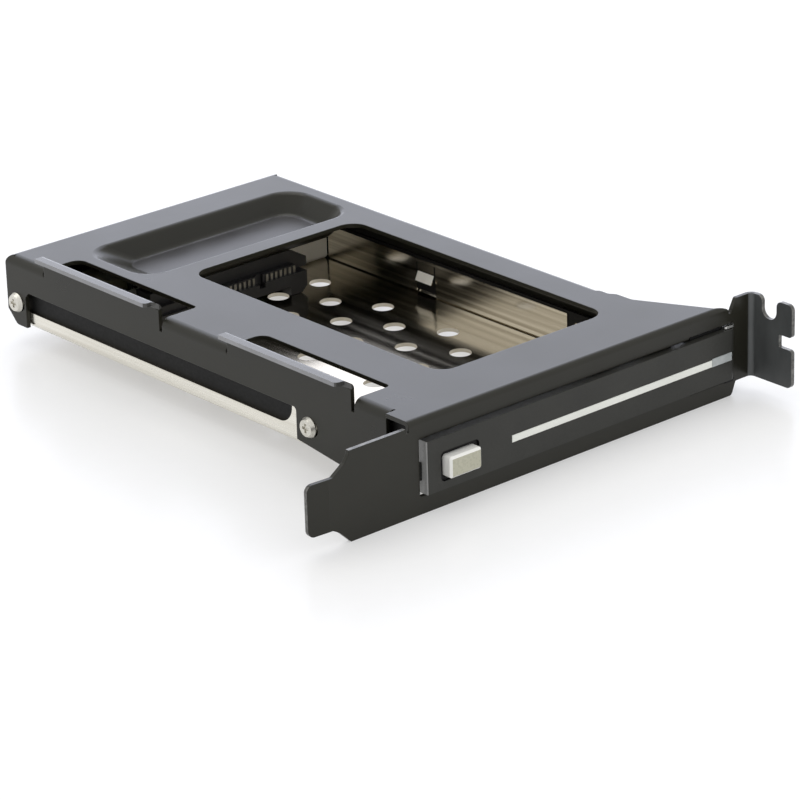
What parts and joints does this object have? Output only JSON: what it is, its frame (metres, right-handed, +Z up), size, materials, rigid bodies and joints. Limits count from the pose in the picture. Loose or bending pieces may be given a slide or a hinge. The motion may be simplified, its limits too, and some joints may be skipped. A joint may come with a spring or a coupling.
{
  "type": "hard drive mobile rack",
  "caption": "Expansion-slot rack for a small hard drive: folded casing on a slot bracket, hinged front door with push latch, drive bay with rear connector",
  "frame": {"origin": "lower left corner of the bracket plate, on the plate's outer face", "axes": "+X along the bracket from the tongue to the screw tab, +Y into the computer, +Z up"},
  "size_m": [0.12, 0.1433, 0.023],
  "materials": {
    "black_steel": "satin black paint",
    "bare_steel": "bright rolled",
    "spring_steel": "polished",
    "black_plastic": "fine grain",
    "door_plastic": "fine grain",
    "button_plastic": "silver paint",
    "strip_plastic": "pale satin",
    "clear_plastic": "clear",
    "board_laminate": "solder mask",
    "contact_metal": "plated",
    "screw_steel": "nickel plated",
    "part_body": "moulded",
    "part_olive": "moulded",
    "led_body": "clear top"
  },
  "bodies": {
    "casing": {"cover": "black_steel", "pan": "bare_steel", "left_guide_rail": "black_plastic", "right_guide_rail": "black_plastic", "left_spring_strip": "spring_steel", "right_spring_strip": "spring_steel", "rear_stop": "bare_steel", "backplane_board": "board_laminate", "board_standoffs": "contact_metal", "board_screws": "screw_steel", "bay_connector": "black_plastic", "bay_contacts": "contact_metal", "data_connector": "black_plastic", "data_contacts": "contact_metal", "power_connector": "black_plastic", "power_contacts": "contact_metal", "filter_capacitor": "part_body", "capacitor_ends": "screw_steel", "power_inductor": "part_olive", "status_chip": "black_plastic", "chip_leads": "screw_steel", "chip_resistors": "part_body", "side_screws": "screw_steel", "catch_spring": "spring_steel", "hinge_bracket": "bare_steel", "hinge_pins": "screw_steel", "led_holder": "black_plastic", "led_board": "board_laminate", "status_leds": "led_body"},
    "door": {"door_panel": "door_plastic", "door_back": "black_plastic", "light_strip": "strip_plastic", "led_window": "clear_plastic", "latch_spring": "spring_steel", "door_screws": "screw_steel"},
    "button": {"button": "button_plastic"},
    "latch": {"latch": "black_plastic"}
  },
  "joints": [
    {"name": "door_hinge", "type": "hinge", "parent": "casing", "child": "door", "pos_m": [0.1018, 0, 0.00975], "axis": [0, 0, 1], "range_deg": [0, 95], "deforming": ["catch_spring"]},
    {"name": "button_press", "type": "slide", "parent": "door", "child": "button", "axis": [0, 1, 0], "range_m": [0, 0.001], "stiffness_N_per_m": 120, "springref_m": -0.002},
    {"name": "latch_slide", "type": "slide", "parent": "door", "child": "latch", "axis": [1, 0, 0], "range_m": [0, 0.001], "deforming": ["latch_spring"]}
  ],
  "couplings": [
    {"joint": "latch_slide", "follows": "button_press", "ratio": 1}
  ]
}
